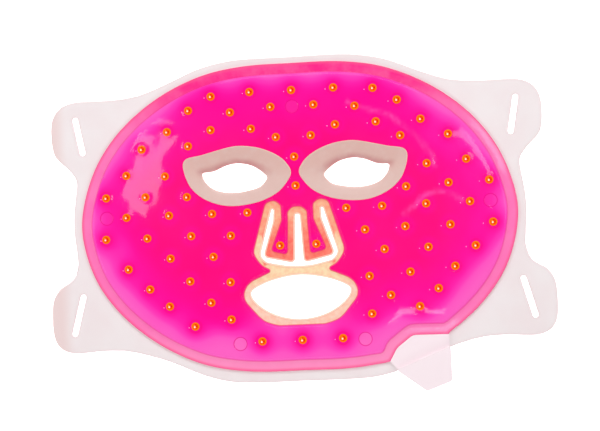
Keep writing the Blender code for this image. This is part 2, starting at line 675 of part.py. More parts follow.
def add_contacts(name, way):
    """A comb of contacts on one face of the tongue."""
    half = CONTACT_PITCH * (CONTACT_COUNT - 1) / 2
    fingers = []
    for k in range(CONTACT_COUNT):
        offset = k * CONTACT_PITCH - half
        fingers.append(boot_box(*CONTACT, offset - CONTACT_WIDE / 2, offset + CONTACT_WIDE / 2))
    tie = boot_box(CONTACT[1] - CONTACT_TIE, CONTACT[1], -half, half)
    low, high = sorted(SOCKET_MID + way * rise for rise in CONTACT_RISE)
    steps = [(True, low, high, [*fingers, tie])]
    add_object(name, layered_mesh(name, steps), "middle", (0.85, 0.6, 0.25), 0.3, 1.0)


def main():
    for obj in list(bpy.data.objects):
        bpy.data.objects.remove(obj, do_unlink=True)
    add_hinges()
    add_shells()
    add_circuits()
    add_reflectors()
    add_strips()
    add_skins()
    add_eye_rims()
    add_studs()
    add_boot()
    add_socket()


main()
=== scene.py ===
"""How a flexible light-therapy face mask looks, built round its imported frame.

The mask lies flat with its lit side up. Lengths are in millimetres until a mesh is made. All
outlines, LED places and hinge lines are read from the frame.
"""

import json
import math

import bpy
import numpy as np
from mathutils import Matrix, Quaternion, Vector, noise
from mathutils.geometry import delaunay_2d_cdt
from mathutils.kdtree import KDTree


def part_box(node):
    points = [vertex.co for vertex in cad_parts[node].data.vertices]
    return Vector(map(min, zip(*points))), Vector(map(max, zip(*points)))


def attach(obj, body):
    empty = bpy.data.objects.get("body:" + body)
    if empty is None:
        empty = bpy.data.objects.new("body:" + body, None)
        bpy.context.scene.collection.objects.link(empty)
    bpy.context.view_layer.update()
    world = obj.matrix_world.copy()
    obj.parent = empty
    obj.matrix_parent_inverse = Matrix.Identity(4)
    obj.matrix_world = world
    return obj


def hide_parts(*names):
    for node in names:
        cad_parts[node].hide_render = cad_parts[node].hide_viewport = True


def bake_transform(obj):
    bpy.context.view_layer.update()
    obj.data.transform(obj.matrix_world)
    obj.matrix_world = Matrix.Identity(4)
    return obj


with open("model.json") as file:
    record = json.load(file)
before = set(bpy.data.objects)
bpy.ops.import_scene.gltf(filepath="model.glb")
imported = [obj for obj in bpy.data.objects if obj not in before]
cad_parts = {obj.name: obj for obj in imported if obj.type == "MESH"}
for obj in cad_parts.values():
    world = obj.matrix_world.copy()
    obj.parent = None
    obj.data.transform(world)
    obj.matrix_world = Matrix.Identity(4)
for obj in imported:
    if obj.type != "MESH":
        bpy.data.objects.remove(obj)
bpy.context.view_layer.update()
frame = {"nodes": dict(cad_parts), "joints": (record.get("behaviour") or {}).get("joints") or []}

MM = 0.001
SIDES = (("right", 1), ("left", -1))
CDT_MERGE = 1e-4

# Heights in the frame.
SHELL_TOP = 1.6
SKIN_BASE = 1.9
FLANGE_TOP = 2.9
HOLLOW_TOP = 4.4
SKIN_TOP = 5.4
LED_TOP = 4.1
FLAP_LED_TOP = 3.35

# Spacing of the points of a sheet.
OUTLINE_STEP = 1.3
GRID_STEP = 2.4
ROW_SHARE = 0.866
CLEAR_SHARE = 0.6
DENSE_STEP = 0.2
BRACE = 1.6
CROWDED = 0.75
SHOULDER_ROWS = (0.08, 0.35, 0.9, 1.7, 2.6)
LED_RINGS = (1.2, 2.2, 2.9, 3.5, 4.0, 4.5, 5.2)
STUD_RINGS = (2.2, 3.6, 4.1, 4.35, 4.9)

# Reading the frame: what counts as a level face, as the cut along a hinge line, as one LED package,
# and, by the distance from the midline, as a hole of the nose and mouth or of an eye.
LOOKS_UP = 0.9
LEVEL_NEAR = 0.05
CUT_NEAR = 0.7
PACKAGE_SPAN = 7.5
MIDLINE = 3
EYE_X = (20, 70)

# Shapes that the frame leaves square.
SHELL_ROUND = 0.8
SHOULDER_ROUND = 2.5
SKIN_EDGE = 0.4
EYE_EDGE = 0.6
LIP_WIDE = 1.4
LIP_HIGH = 0.25
BOSS_ROUND = 4.0
BOSS_HIGH = 0.03
STUD_ROUND = 4.25
STUD_DIP = 0.25
WAVE_HIGH = 0.16
WAVE_LONG = 34.0
CREASE_HIGH = 0.1
CREASE_WIDE = 1.3
WALL = 1.2

# Zones at the hinge lines: how far a zone reaches on each side of its hinge line.
EAR_BEND = 5.0
FLAP_BEND = 3.0
EAR_SEAM_HALF = 54.0
NECK_X = (0.9, 16.4)
NECK_LOW = 2.0
NECK_FADE = (6, -14)
TONGUE_GROWN = 0.8
FAR = 175.0

# Lens domes.
DOME_ROUND = 2.8
DOME_HIGH = 1.25
GLINT_ROUND = 0.36
GLINT_AWAY = 4.85
GLINT_LEAN = 0.011
GLINT_DOWN = 0.7
LENS_SUNK = 0.12
GLOW_REACH = 9.0
GLOW_FULL = 1.6

# Creases in the window: runs of places in the plane.
CREASES = [
    [(36, 44), (44.7, 40.4), (62.3, 34.4), (77.5, 20.8), (87.6, 7.6), (87.9, 1.2)],
    [(68, -29), (75.4, -23.6), (82, -17.5), (89.7, -15.4), (97.8, -17), (105, -21.8)],
]


# ---------------------------------------------------------------- outlines from the frame

def level_edges(names, height):
    """Directed edges round the faces that look up at one height."""
    edges = set()
    for name in names:
        mesh = frame["nodes"][name].data
        places = [tuple(round(c / MM, 3) for c in v.co) for v in mesh.vertices]
        for face in mesh.polygons:
            ring = [places[i] for i in face.vertices]
            if face.normal.z < LOOKS_UP or abs(ring[0][2] - height) > LEVEL_NEAR:
                continue
            ring = [p[:2] for p in ring]
            for a, b in zip(ring, ring[1:] + ring[:1]):
                if (b, a) in edges:
                    edges.remove((b, a))
                else:
                    edges.add((a, b))
    return edges


def hinge_lines():
    """The place and direction of each hinge line in the plane, by the body that it carries."""
    lines = {}
    for joint in frame["joints"]:
        place = np.array(joint["pos_m"][:2]) / MM
        along = np.array(joint["axis"][:2], float)
        lines[joint["child"]] = (place, along / np.linalg.norm(along))
    return lines


HINGES = hinge_lines()


def on_hinge(point):
    """Whether a point lies on the cut along a hinge line."""
    for place, along in HINGES.values():
        away = np.array(point) - place
        if abs(along[0] * away[1] - along[1] * away[0]) < CUT_NEAR:
            return True
    return False


def runs_of(edges):
    """Runs of points from directed edges. A run that closes ends where it starts."""
    following = dict(edges)
    starts = set(following) - set(following.values())
    runs = []
    while following:
        here = starts.pop() if starts else next(iter(following))
        run = [here]
        while here in following:
            here = following.pop(here)
            run.append(here)
        runs.append(run)
    return runs


def outlines(names, height):
    """Closed outlines of the faces that look up at a height, whole across the hinge lines."""
    edges = {e for e in level_edges(names, height) if not (on_hinge(e[0]) and on_hinge(e[1]))}
    closed, open_runs = [], []
    for run in runs_of(sorted(edges)):
        (closed if run[0] == run[-1] else open_runs).append(run)
    loops = [run[:-1] for run in closed]
    while open_runs:
        run = open_runs.pop()
        while open_runs:
            reach = [math.dist(run[-1], other[0]) for other in open_runs]
            best = int(np.argmin(reach))
            if math.dist(run[-1], run[0]) < reach[best]:
                break
            run += open_runs.pop(best)
        loops.append(run)
    return [np.array(loop) for loop in loops]


def area(loop):
    """The signed area of a loop, positive when it runs anticlockwise."""
    x, y = loop[:, 0], loop[:, 1]
    return 0.5 * float(np.sum(x * np.roll(y, -1) - np.roll(x, -1) * y))


def anticlockwise(loop):
    return loop if area(loop) > 0 else loop[::-1]


def thinned(loop):
    """The loop without points that crowd the one before."""
    kept = [loop[0]]
    for point in loop[1:]:
        if math.dist(point, kept[-1]) > CROWDED:
            kept.append(point)
    return kept


def braced(ring):
    """Adds points near both ends of each straight side that is much longer than its neighbours."""
    count, made = len(ring), []
    spans = [math.dist(ring[i], ring[(i + 1) % count]) for i in range(count)]
    for i, here in enumerate(ring):
        made.append(here)
        near = min(spans[i - 1], spans[(i + 1) % count])
        if spans[i] > max(2.6 * near, 3 * BRACE):
            ahead = ring[(i + 1) % count]
            along = (ahead - here) * BRACE / spans[i]
            made += [here + along, ahead - along]
    return made


def smooth(loop, step=OUTLINE_STEP):
    """A smooth closed curve through the points of a loop, in even steps."""
    ring = braced(thinned(anticlockwise(loop)))
    count, made = len(ring), []
    for i in range(count):
        a, b, c, d = (np.array(ring[(i + k) % count]) for k in (-1, 0, 1, 2))
        t1 = math.dist(a, b) ** 0.5
        t2 = t1 + math.dist(b, c) ** 0.5
        t3 = t2 + math.dist(c, d) ** 0.5
        parts = max(1, round(math.dist(b, c) / step))
        for k in range(parts):
            t = t1 + (t2 - t1) * k / parts
            ab = ((t1 - t) * a + t * b) / t1
            bc = ((t2 - t) * b + (t - t1) * c) / (t2 - t1)
            cd = ((t3 - t) * c + (t - t2) * d) / (t3 - t2)
            first = ((t2 - t) * ab + t * bc) / t2
            last = ((t3 - t) * bc + (t - t1) * cd) / (t3 - t1)
            made.append(((t2 - t) * first + (t - t1) * last) / (t2 - t1))
    return np.array(made)


def tree_of(points):
    """A search tree over places in the plane."""
    tree = KDTree(len(points))
    for i, point in enumerate(points):
        tree.insert((point[0], point[1], 0), i)
    tree.balance()
    return tree


def dense(loop, step):
    """The loop with points added along its sides, no more than a step apart."""
    made = []
    for a, b in zip(loop, np.roll(loop, -1, axis=0)):
        parts = max(1, math.ceil(math.dist(a, b) / step))
        made += [a + (b - a) * k / parts for k in range(parts)]
    return np.array(made)


def lengths_along(run):
    """How far along a run each of its points lies."""
    return np.concatenate([[0], np.cumsum(np.linalg.norm(np.diff(run, axis=0), axis=1))])


def points_along(run, wanted):
    """The points at the wanted lengths along a run."""
    along = lengths_along(run)
    return np.stack([np.interp(wanted, along, run[:, k]) for k in (0, 1)], axis=1)


def outline_tree(loops):
    """Finds the distance to the nearest of the outlines."""
    return tree_of(np.vstack([dense(loop, DENSE_STEP) for loop in loops]))


def distances(tree, points):
    return np.array([tree.find((p[0], p[1], 0))[2] for p in points])


def offset_points(loop, distance):
    """The points of an anticlockwise loop moved inwards, or outwards where the distance is negative."""
    along = np.roll(loop, -1, axis=0) - np.roll(loop, 1, axis=0)
    along /= np.linalg.norm(along, axis=1)[:, None]
    return loop + np.stack([-along[:, 1], along[:, 0]], axis=1) * distance


def offsets(loop, ways, tree):
    """Rows of points beside a loop, less those that another part of the outline comes closer to."""
    rows = []
    for distance in ways:
        row = offset_points(loop, distance)
        kept = distances(tree, row) > 0.9 * abs(distance)
        rows.append(row[kept])
    return rows


SHELL_NODES = ["shell_middle"]
SKIN_NODES = ["skin_middle"]
for hand, _ in SIDES:
    SHELL_NODES += [f"{part}_{hand}" for part in ("shell_wing", "ear_upper", "ear_lower", "flap_shell")]
    SKIN_NODES += [f"skin_wing_{hand}", f"flap_skin_{hand}"]


def by_area(loops):
    """The loops made smooth, the largest first."""
    return sorted((smooth(loop) for loop in loops), key=lambda loop: -area(loop))


def middle_of(loop):
    """The middle of the box round a loop."""
    return (loop.min(axis=0) + loop.max(axis=0)) / 2


def toward_boot(loop, height, reach, overlap):
    """Closes the gap between a sheet and the boot's outline at a height, so that they read as one."""
    boot = outline_tree(by_area([outlines_at("socket_boot", height)]))
    moved = loop.copy()
    for i, point in enumerate(loop):
        near, _, away = boot.find((point[0], point[1], 0))
        if 0.02 < away < reach:
            along = np.array(near[:2]) - point
            moved[i] = point + along * (1 + overlap / away)
    return moved


def outlines_at(name, height):
    """The largest outline that one node has at a height."""
    return max(outlines([name], height), key=lambda loop: abs(area(loop)))


shell_loops = by_area(outlines(SHELL_NODES, SHELL_TOP))
raised_loops = by_area(outlines(SKIN_NODES, SKIN_TOP))
flange_loops = by_area(outlines(SKIN_NODES, FLANGE_TOP))
SHELL_EDGE, SHELL_HOLES = shell_loops[0], shell_loops[1:]
WINDOW_EDGE = toward_boot(flange_loops[0], FLANGE_TOP, reach=1.0, overlap=0)
RAISED_EDGE = raised_loops[0]
SURROUND = next(loop for loop in raised_loops[1:] if abs(middle_of(loop)[0]) < MIDLINE)
EYE_RINGS = [loop for loop in raised_loops[1:] if abs(middle_of(loop)[0]) > EYE_X[0]]
NOSE_AND_MOUTH = [loop for loop in SHELL_HOLES if abs(middle_of(loop)[0]) < MIDLINE]
EYE_OPENINGS = [loop for loop in SHELL_HOLES if EYE_X[0] < abs(middle_of(loop)[0]) < EYE_X[1]]


# ---------------------------------------------------------------- places from the frame

def boxes_at(name, height):
    """The middles of the separate square tops that a node has at one height."""
    corners = {p for edge in level_edges([name], height) for p in edge}
    groups = []
    for corner in sorted(corners):
        near = [g for g in groups if math.dist(g[0], corner) < PACKAGE_SPAN]
        if near:
            near[0].append(corner)
        else:
            groups.append([corner])
    return [tuple(middle_of(np.array(g))) for g in groups]


def led_places():
    """The middle of each LED on the strips."""
    places = []
    for name in sorted(frame["nodes"]):
        if name.startswith("led_strip"):
            places += boxes_at(name, LED_TOP)
    return places


LEDS = led_places()
FLAP_LEDS = {hand: boxes_at(f"flap_led_{hand}", FLAP_LED_TOP)[0] for hand, _ in SIDES}
STUDS = [middle_of(np.array([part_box(n)[0][:2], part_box(n)[1][:2]]) / MM)
         for n in sorted(frame["nodes"]) if n.startswith("locating_stud")]


# ---------------------------------------------------------------- zones of a sheet

def outward(place, along):
    """The direction across a line that points away from the middle of the mask."""
    out = np.array((along[1], -along[0]))
    return out if out[0] * place[0] > 0 else -out


def half_plane_zone(place, along, reach):
    """A large four-sided zone on the outer side of a line."""
    out = outward(place, along)
    start = place - out * reach
    first, last = start - along * EAR_SEAM_HALF, start + along * EAR_SEAM_HALF
    return np.array([first, last, last + out * FAR, first + out * FAR])


def zone_loops():
    """Closed loops that divide the sheets into pieces, by zone name."""
    zones = {"right": np.array([(0, -FAR), (FAR, -FAR), (FAR, FAR), (0, FAR)])}
    for hand, side in SIDES:
        for level in ("upper", "lower"):
            name = f"ear_{level}_{hand}"
            zones[name] = half_plane_zone(*HINGES[name], EAR_BEND)
        hinge_y = HINGES[f"nose_flap_{hand}"][0][1]
        flap = anticlockwise(outlines_whole(f"flap_shell_{hand}"))
        zones[f"tongue_{hand}"] = offset_points(smooth(flap), -TONGUE_GROWN)
        xs = [side * x for x in NECK_X]
        low, high = hinge_y - NECK_LOW, hinge_y + FLAP_BEND
        zones[f"neck_{hand}"] = np.array([(xs[0], low), (xs[1], low), (xs[1], high), (xs[0], high)])
    return {name: dense(anticlockwise(loop), GRID_STEP) for name, loop in zones.items()}


def outlines_whole(name):
    """The outline of one node at the shell's top, with its cut at the hinge line."""
    runs = runs_of(sorted(level_edges([name], SHELL_TOP)))
    return np.array(max(runs, key=len)[:-1])


ZONES = zone_loops()


def piece_of(names):
    """The piece that a cell inside these zones belongs to."""
    hand = "right" if "right" in names else "left"
    if f"tongue_{hand}" in names or f"neck_{hand}" in names:
        return f"flap_{hand}"
    for level in ("upper", "lower"):
        if f"ear_{level}_{hand}" in names:
            return f"ear_{level}_{hand}"
    return hand


def sheet(areas, rows):
    """Triangles of a flat sheet: its points, its cells and the names of the areas round each cell."""
    points, faces, names = [], [], []
    for name, loop in [*areas, *ZONES.items()]:
        ring = anticlockwise(np.asarray(loop))
        faces.append(list(range(len(points), len(points) + len(ring))))
        names.append(name)
        points += list(ring)
    taken = points + [p for row in rows for p in row]
    tree = tree_of(taken)
    low, high = SHELL_EDGE.min(axis=0), SHELL_EDGE.max(axis=0)
    for j, y in enumerate(np.arange(low[1], high[1], GRID_STEP * ROW_SHARE)):
        for x in np.arange(low[0] + (j % 2) * GRID_STEP / 2, high[0], GRID_STEP):
            if tree.find((x, y, 0))[2] > CLEAR_SHARE * GRID_STEP:
                taken.append((x, y))
    vectors = [Vector((float(p[0]), float(p[1]))) for p in taken]
    flat, _, cells, _, _, owners = delaunay_2d_cdt(vectors, [], faces, 1, CDT_MERGE)
    inside = [{names[i] for i in own} for own in owners]
    return np.array([tuple(p) for p in flat]), cells, inside


# ---------------------------------------------------------------- meshes

def quarter(distance, radius):
    """The rise of a quarter circle, from 0 at its foot to 1."""
    share = np.clip(distance / radius, 0, 1)
    return np.sqrt(1 - (1 - share) ** 2)


def eased(values, low, high):
    """Eases from 0 to 1 while the values go from low to high."""
    t = np.clip((values - low) / (high - low), 0, 1)
    return t * t * (3 - 2 * t)


def waves(points, long, seed):
    """Gentle rises and dips, about as long as stated."""
    made = [noise.noise(Vector((p[0] / long, p[1] / long, seed))) for p in points]
    return np.array(made)


def vertex_normals(points, faces):
    """The direction of a smooth surface at each point."""
    corner = points[faces]
    normal = np.cross(corner[:, 1] - corner[:, 0], corner[:, 2] - corner[:, 0])
    total = np.zeros_like(points)
    for k in range(3):
        np.add.at(total, faces[:, k], normal)
    return total / np.maximum(np.linalg.norm(total, axis=1), 1e-12)[:, None]


def add_mesh(name, points, faces, materials, kinds=None, values=None, normals=None):
    """Adds a mesh object from places in millimetres, with its vertex values and corner normals."""
    mesh = bpy.data.meshes.new(name)
    places = [tuple(p) for p in np.asarray(points) * MM]
    mesh.from_pydata(places, [], [tuple(map(int, f)) for f in faces])
    for each in materials:
        mesh.materials.append(each)
    if kinds is not None:
        mesh.polygons.foreach_set("material_index", np.array(kinds, np.int32))
    for key, value in (values or {}).items():
        wide = value.ndim > 1
        made = mesh.attributes.new(key, "FLOAT_VECTOR" if wide else "FLOAT", "POINT")
        made.data.foreach_set("vector" if wide else "value", value.astype(np.float32).ravel())
    mesh.shade_smooth()
    if normals is not None:
        mesh.normals_split_custom_set([tuple(n) for n in normals])
    mesh.update()
    obj = bpy.data.objects.new(name, mesh)
    bpy.context.scene.collection.objects.link(obj)
    return obj


def sheet_pieces(prefix, flat, cells, wanted, kinds, top, bottom, materials, values):
    """Cuts a sheet into its pieces, each closed by its underside and its walls."""
    cells = np.array(cells)
    upper = np.column_stack([flat, top])
    lower = np.column_stack([flat, bottom])
    kept = np.array([p is not None for p in wanted])
    up = vertex_normals(upper, cells[kept])
    down = vertex_normals(lower, cells[kept][:, ::-1])
    made = {}
    for piece in sorted({p for p in wanted if p}):
        mine = [i for i, p in enumerate(wanted) if p == piece]
        made[piece] = one_piece(f"{prefix}_{piece}", cells[mine], [kinds[i] for i in mine],
                                (upper, lower), (up, down), materials, values)
    return made


def one_piece(name, cells, kinds, sides, normals, materials, values):
    """One closed piece: its top, its underside, and walls where its cells end."""
    upper, lower = sides
    used = np.unique(cells)
    place = {int(p): i for i, p in enumerate(used)}
    same = upper[used, 2] - lower[used, 2] < 1e-4
    below = {int(p): (i if same[i] else None) for i, p in enumerate(used)}
    points, origin = list(upper[used]), list(used)
    for p in used:
        if below[int(p)] is None:
            below[int(p)] = len(points)
            points.append(lower[p])
            origin.append(p)
    edges = {}
    for kind, (a, b, c) in zip(kinds, cells):
        for pair in ((a, b), (b, c), (c, a)):
            edges[tuple(map(int, pair))] = kind
    faces, face_kinds, corner_normals = [], [], []
    for kind, cell in zip(kinds, cells):
        faces.append([place[int(p)] for p in cell])
        corner_normals += [normals[0][p] for p in cell]
        face_kinds.append(kind)
    for kind, cell in zip(kinds, cells):
        faces.append([below[int(p)] for p in cell[::-1]])
        corner_normals += [normals[1][p] for p in cell[::-1]]
        face_kinds.append(kind)
    for (a, b), kind in edges.items():
        if (b, a) in edges:
            continue
        ring = list(dict.fromkeys((place[b], place[a], below[a], below[b])))
        if len(ring) < 3:
            continue
        along = upper[b, :2] - upper[a, :2]
        along = along / np.linalg.norm(along)
        faces.append(ring)
        corner_normals += [(along[1], -along[0], 0)] * len(ring)
        face_kinds.append(kind)
    origin = np.array(origin)
    held = {key: value[origin] for key, value in values.items()}
    return add_mesh(name, points, faces, materials, face_kinds, held, corner_normals)


# ---------------------------------------------------------------- materials

class Shader:
    """Builds one node material around its Principled shader."""

    def __init__(self, name, **settings):
        self.made = bpy.data.materials.new(name)
        self.made.use_nodes = True
        self.tree = self.made.node_tree
        self.out = self.tree.nodes["Principled BSDF"]
        for key, value in settings.items():
            self.set(key.replace("_", " "), value)

    def set(self, key, value):
        socket = self.out.inputs[key]
        if isinstance(value, bpy.types.NodeSocket):
            self.tree.links.new(value, socket)
        else:
            socket.default_value = value

    def add(self, kind, inputs=(), output=0, **settings):
        node = self.tree.nodes.new(kind)
        for key, value in settings.items():
            setattr(node, key, value)
        for key, value in dict(inputs).items():
            if isinstance(value, bpy.types.NodeSocket):
                self.tree.links.new(value, node.inputs[key])
            else:
                node.inputs[key].default_value = value
        return node.outputs[output]

    def value(self, name):
        return self.add("ShaderNodeAttribute", output="Fac", attribute_name=name)

    def vector(self, name):
        return self.add("ShaderNodeAttribute", output="Vector", attribute_name=name)

    def place(self):
        return self.add("ShaderNodeTexCoord", output="Object")

    def axis(self, name):
        return self.add("ShaderNodeSeparateXYZ", {0: self.place()}, output=name)

    def noise(self, size, detail=3.0):
        """A noise whose lumps are about size millimetres across."""
        look = {"Vector": self.place(), "Scale": 1 / (size * MM), "Detail": detail}
        return self.add("ShaderNodeTexNoise", look)

    def math(self, kind, a, b=0.0):
        return self.add("ShaderNodeMath", {0: a, 1: b}, operation=kind)

    def span(self, value, low, high, start=0.0, end=1.0):
        """Eases from start to end while the value goes from low to high."""
        ends = {"Value": value, "From Min": low, "From Max": high, "To Min": start, "To Max": end}
        return self.add("ShaderNodeMapRange", ends, interpolation_type="SMOOTHSTEP")

    def mix(self, share, a, b, kind="MIX"):
        return self.add("ShaderNodeMix", {0: share, 6: a, 7: b}, output=2, data_type="RGBA",
                        blend_type=kind)

    def ramp(self, value, stops):
        node = self.tree.nodes.new("ShaderNodeValToRGB")
        self.tree.links.new(value, node.inputs[0])
        ends = node.color_ramp.elements
        while len(ends) < len(stops):
            ends.new(0.5)
        for element, (place, colour) in zip(ends, stops):
            element.position = place
            element.color = colour
        return node.outputs[0]

    def bump(self, height, strength, deep):
        """Bump of a depth in millimetres."""
        normal = self.add("ShaderNodeBump", {"Height": height, "Strength": strength,
                                             "Distance": deep * MM})
        self.set("Normal", normal)


def linear(red, green, blue):
    """A colour given as it shows on a screen, 0 to 255."""
    made = []
    for value in (red, green, blue):
        share = value / 255
        made.append(share / 12.92 if share <= 0.04045 else ((share + 0.055) / 1.055) ** 2.4)
    return (*made, 1.0)


WHITE = (1.0, 1.0, 1.0, 1.0)
DIM = (0.38, 0.38, 0.38, 1.0)
GRAIN = 1.2


def glow_colour(s):
    """Hot pink where the LEDs crowd, violet pink where they thin out, redder in the middle."""
    colour = s.ramp(s.value("glow"), [
        (0.1, linear(251, 98, 195)), (0.32, linear(252, 84, 192)), (0.44, linear(253, 58, 183)),
        (0.63, linear(254, 28, 168)), (0.8, linear(255, 8, 156)), (1.0, linear(255, 0, 147)),
    ])
    return s.mix(s.span(s.value("inner"), 18.0, 46.0, 0.0, 0.95), colour, linear(255, 0, 122))


def lit_material():
    """The raised window of the skin, with the light from inside painted in as a glow."""
    s = Shader("lit_skin", Roughness=0.3)
    s.set("Specular IOR Level", 0.06)
    s.set("Coat Weight", 0.12)
    s.set("Coat Roughness", 0.04)
    led = s.value("led")
    ring = s.math("MULTIPLY", s.span(led, 3.0, 3.9), s.span(led, 4.9, 4.1))
    halo = s.span(led, 9.0, 2.5)
    colour = s.mix(s.math("MULTIPLY", halo, 0.8), glow_colour(s), linear(255, 0, 148))
    colour = s.mix(s.math("MULTIPLY", ring, 0.45), colour, linear(240, 0, 116))
    stud = s.value("stud")
    disc = s.span(stud, 4.4, 4.1)
    low = s.span(s.axis("Y"), -0.06, -0.09, 0.05, 0.4)
    colour = s.mix(s.math("MULTIPLY", disc, low), colour, linear(253, 128, 196))
    rim = s.math("MULTIPLY", s.span(stud, 3.8, 4.1), s.span(stud, 4.7, 4.4))
    colour = s.mix(s.math("MULTIPLY", rim, 0.7), colour, linear(232, 0, 128))
    cloud = s.noise(38.0, 2.0)
    colour = s.mix(s.span(cloud, 0.35, 0.8, 0.0, 0.16), colour, linear(255, 30, 160))
    fade = s.span(s.noise(16.0), 0.35, 0.6, 0.15, 0.5)
    colour = s.mix(s.math("MULTIPLY", s.value("crease"), fade), colour, linear(255, 96, 190))
    # Painted shade: a deeper line along the raised window's wall.
    line = s.span(s.value("reach"), 0.9, 0.2)
    colour = s.mix(s.math("MULTIPLY", line, 0.5), colour, linear(232, 40, 140))
    s.set("Base Color", s.mix(1.0, colour, DIM, "MULTIPLY"))
    s.set("Emission Color", colour)
    s.set("Emission Strength", 0.66)
    s.bump(s.noise(7.0, 3.0), 0.2, 0.12)
    return s.made


def flange_material():
    """The bonding flange round the window, glowing with painted LED light: paler, with a deeper line
    along its edge.
    """
    s = Shader("flange_skin", Roughness=0.35)
    s.set("Specular IOR Level", 0.15)
    s.set("Coat Weight", 0.12)
    s.set("Coat Roughness", 0.06)
    edge = s.value("edge")
    high = s.axis("Y")
    colour = s.mix(s.span(high, 0.026, 0.062), linear(253, 116, 183), linear(253, 36, 138))
    colour = s.mix(s.span(high, -0.09, -0.118), colour, linear(253, 138, 190))
    colour = s.mix(s.span(s.noise(11.0), 0.35, 0.75, 0.0, 0.2), colour, linear(253, 160, 205))
    colour = s.mix(s.span(edge, 2.4, 0.8, 0.0, 0.6), colour, linear(252, 88, 142))
    colour = s.mix(s.span(edge, 0.7, 0.2, 0.0, 0.8), colour, linear(246, 74, 136))
    # Painted shade: a deeper line where the flange meets the raised window's wall.
    line = s.span(s.value("reach"), 0.7, 0.2)
    colour = s.mix(s.math("MULTIPLY", line, 0.5), colour, linear(235, 50, 140))
    s.set("Base Color", s.mix(1.0, colour, DIM, "MULTIPLY"))
    s.set("Emission Color", colour)
    s.set("Emission Strength", 0.64)
    s.bump(s.noise(5.0), 0.15, 0.1)
    return s.made


def border_material():
    """The border of the nose and mouth openings, glowing with painted LED light: peach above, cream
    below, salmon on the flaps.
    """
    s = Shader("border_skin", Roughness=0.4)
    s.set("Specular IOR Level", 0.2)
    edge = s.value("edge")
    reach = s.value("reach")
    high = s.axis("Y")
    mottle = s.span(s.noise(3.0, 4.0), 0.3, 0.7)
    above = s.mix(mottle, linear(254, 160, 130), linear(252, 190, 150))
    below = s.mix(mottle, linear(252, 204, 164), linear(253, 226, 184))
    colour = s.mix(s.span(high, -0.046, -0.03), below, above)
    mouth = s.mix(mottle, linear(254, 196, 172), linear(254, 214, 194))
    colour = s.mix(s.span(high, -0.066, -0.074), colour, mouth)
    flap = s.mix(mottle, linear(255, 112, 98), linear(255, 140, 118))
    colour = s.mix(s.value("tongue"), colour, flap)
    colour = s.mix(s.span(edge, 1.3, 0.9, 0.0, 0.7), colour, linear(254, 226, 206))
    seam = s.math("MULTIPLY", s.span(edge, 0.9, 1.1), s.span(edge, 1.5, 1.2))
    colour = s.mix(s.math("MULTIPLY", seam, 0.35), colour, linear(246, 130, 110))
    # Painted shade: a dark red line where the border meets the raised window's wall.
    colour = s.mix(s.span(reach, 0.7, 0.15, 0.0, 0.85), colour, linear(240, 70, 90))
    s.set("Base Color", s.mix(1.0, colour, (0.4, 0.4, 0.4, 1), "MULTIPLY"))
    s.set("Emission Color", colour)
    s.set("Emission Strength", 0.6)
    s.bump(s.noise(3.0), 0.2, 0.1)
    return s.made


def silicone_material(name, tone, mottle_and_edge_glow_tone):
    """Matt white silicone, faintly mottled, with a painted pink glow along its edges and painted shade
    on the outer edges of the left ears.
    """
    s = Shader(name, Roughness=0.5)
    mottle = s.span(s.noise(26.0, 4.0), 0.3, 0.75)
    colour = s.mix(s.math("MULTIPLY", mottle, 0.5), tone, mottle_and_edge_glow_tone)
    # Painted light: a pink glow from the lit skin along the edges.
    colour = s.mix(s.span(s.value("edge"), 2.2, 0.2, 0.0, 0.7), colour, mottle_and_edge_glow_tone)
    # Painted shade: pinker and darker towards the outer edges of the left ears.
    west_painted_shade = s.span(s.axis("X"), -0.147, -0.157)
    colour = s.mix(s.math("MULTIPLY", west_painted_shade, 0.75), colour, linear(234, 206, 204))
    s.set("Base Color", colour)
    s.set("Sheen Weight", 0.15)
    s.set("Sheen Roughness", 0.5)
    fine = s.math("ADD", s.noise(0.9, 5.0), s.math("MULTIPLY", s.noise(9.0), 2.0))
    s.bump(fine, 0.25, 0.06)
    return s.made


def rim_material():
    """White silicone of the eye rims, with painted pink light from inside and painted shade on their
    upper part and upper inner wall.
    """
    s = Shader("rim_silicone", Roughness=0.42)
    share = s.value("share")
    high = s.value("high")
    # Painted light and shade: both tones are tinted pink by the glow, and the upper part of the rim is
    # a little darker.
    colour = s.mix(high, linear(223, 188, 180), linear(221, 180, 171))
    # Painted shade, tinted pink, on the upper inner wall next to the opening.
    inner = s.math("MULTIPLY", s.span(share, 0.42, 0.0), s.span(high, 0.3, 1.0))
    colour = s.mix(s.math("MULTIPLY", inner, 0.75), colour, linear(196, 122, 124))
    colour = s.mix(s.span(share, 0.93, 0.99, 0.0, 0.6), colour, linear(226, 204, 180))
    colour = s.mix(s.span(s.noise(5.0), 0.4, 0.8, 0.0, 0.25), colour, linear(228, 204, 198))
    s.set("Base Color", colour)
    s.bump(s.noise(1.5, 4.0), 0.2, 0.06)
    return s.made


